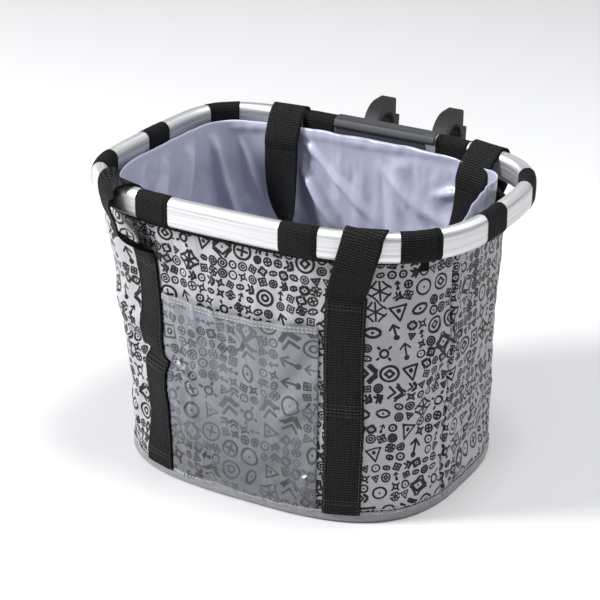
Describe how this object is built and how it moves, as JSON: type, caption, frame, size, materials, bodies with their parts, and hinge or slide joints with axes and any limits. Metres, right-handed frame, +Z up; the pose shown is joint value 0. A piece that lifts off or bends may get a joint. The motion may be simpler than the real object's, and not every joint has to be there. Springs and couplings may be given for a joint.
{
  "type": "handlebar basket",
  "caption": "Oval handlebar basket: fabric bag hung by webbing tabs from an aluminium rim, with carrying handles and a clamp-on release bracket.",
  "frame": {"origin": "middle of the underside of the basket's base, where it stands on a floor", "axes": "+X along the handlebar, the basket's long way; +Y from the basket towards the handlebar; +Z up"},
  "size_m": [0.3348, 0.3262, 0.2479],
  "materials": {
    "rim_aluminium": "lengthwise brushed satin",
    "steel": "plain steel",
    "black_webbing": "matt woven webbing",
    "printed_fabric": "woven fabric, light grey with dense black marks",
    "pocket_fabric": "printed fabric under a clear film",
    "lining_satin": "lavender grey satin",
    "silver_binding": "stitched binding tape",
    "hem_tape": "stitched black tape",
    "stiffener_board": "plain sheet",
    "grey_plastic": "fine-grained moulded plastic",
    "black_plastic": "fine-grained moulded plastic",
    "rubber": "matt",
    "red_plastic": "moulded plastic"
  },
  "bodies": {
    "basket": {"rim_frame": "rim_aluminium", "rim_joiner": "steel", "coupling_housing_front": "grey_plastic", "coupling_housing_rear": "grey_plastic", "housing_screw_1": "steel", "housing_screw_2": "steel", "housing_screw_3": "steel", "housing_screw_4": "steel", "tab_front_middle": "black_webbing", "tab_front_right": "black_webbing", "tab_right_front": "black_webbing", "tab_right_rear": "black_webbing", "tab_rear_right": "black_webbing", "tab_rear_left": "black_webbing", "tab_left_rear": "black_webbing", "tab_left_middle": "black_webbing", "tab_left_front": "black_webbing", "tab_front_left": "black_webbing", "front_panel": "printed_fabric", "right_side_panel": "printed_fabric", "back_panel": "printed_fabric", "left_side_panel": "printed_fabric", "lining_wall": "lining_satin", "top_hem": "hem_tape", "base_piping": "silver_binding", "front_pocket": "pocket_fabric", "pocket_binding": "silver_binding", "front_handle_leg_left": "black_webbing", "front_handle_leg_right": "black_webbing", "rear_handle_leg_left": "black_webbing", "rear_handle_leg_right": "black_webbing", "front_handle_bend_left": "black_webbing", "front_handle_bend_right": "black_webbing", "rear_handle_bend_left": "black_webbing", "rear_handle_bend_right": "black_webbing"},
    "base": {"base_panel": "printed_fabric", "base_board": "stiffener_board", "lining_floor": "lining_satin"},
    "front_handle": {"front_handle_loop": "black_webbing"},
    "rear_handle": {"rear_handle_loop": "black_webbing"},
    "bracket": {"bracket_body": "black_plastic", "clamp_jaw_left": "black_plastic", "clamp_shim_left_upper": "rubber", "clamp_shim_left_lower": "rubber", "clamp_bolt_left_front": "steel", "clamp_bolt_left_rear": "steel", "clamp_jaw_right": "black_plastic", "clamp_shim_right_upper": "rubber", "clamp_shim_right_lower": "rubber", "clamp_bolt_right_front": "steel", "clamp_bolt_right_rear": "steel", "button_spring": "steel", "latch_catch": "steel"},
    "button": {"release_button": "red_plastic"}
  },
  "joints": [
    {"name": "front_handle_swing", "type": "hinge", "parent": "basket", "child": "front_handle", "pos_m": [0, -0.095, 0.239], "axis": [1, 0, 0], "range_deg": [0, 155], "deforming": ["front_handle_bend_left", "front_handle_bend_right"]},
    {"name": "rear_handle_swing", "type": "hinge", "parent": "basket", "child": "rear_handle", "pos_m": [0, 0.117, 0.239], "axis": [-1, 0, 0], "range_deg": [0, 155], "deforming": ["rear_handle_bend_left", "rear_handle_bend_right"]},
    {"name": "base_collapse", "type": "slide", "parent": "basket", "child": "base", "axis": [0, 0, 1], "range_m": [0, 0.11], "deforming": ["front_panel", "right_side_panel", "back_panel", "left_side_panel", "lining_wall", "base_piping", "front_pocket", "pocket_binding", "front_handle_leg_left", "front_handle_leg_right", "rear_handle_leg_left", "rear_handle_leg_right"]},
    {"name": "bracket_release", "type": "slide", "parent": "basket", "child": "bracket", "axis": [0, 0, -1], "range_m": [0, 0.06], "deforming": ["latch_catch"]},
    {"name": "release_button_press", "type": "slide", "parent": "bracket", "child": "button", "axis": [0, 0, 1], "range_m": [0, 0.005], "stiffness_N_per_m": 600, "springref_m": -0.002, "deforming": ["button_spring"]}
  ]
}
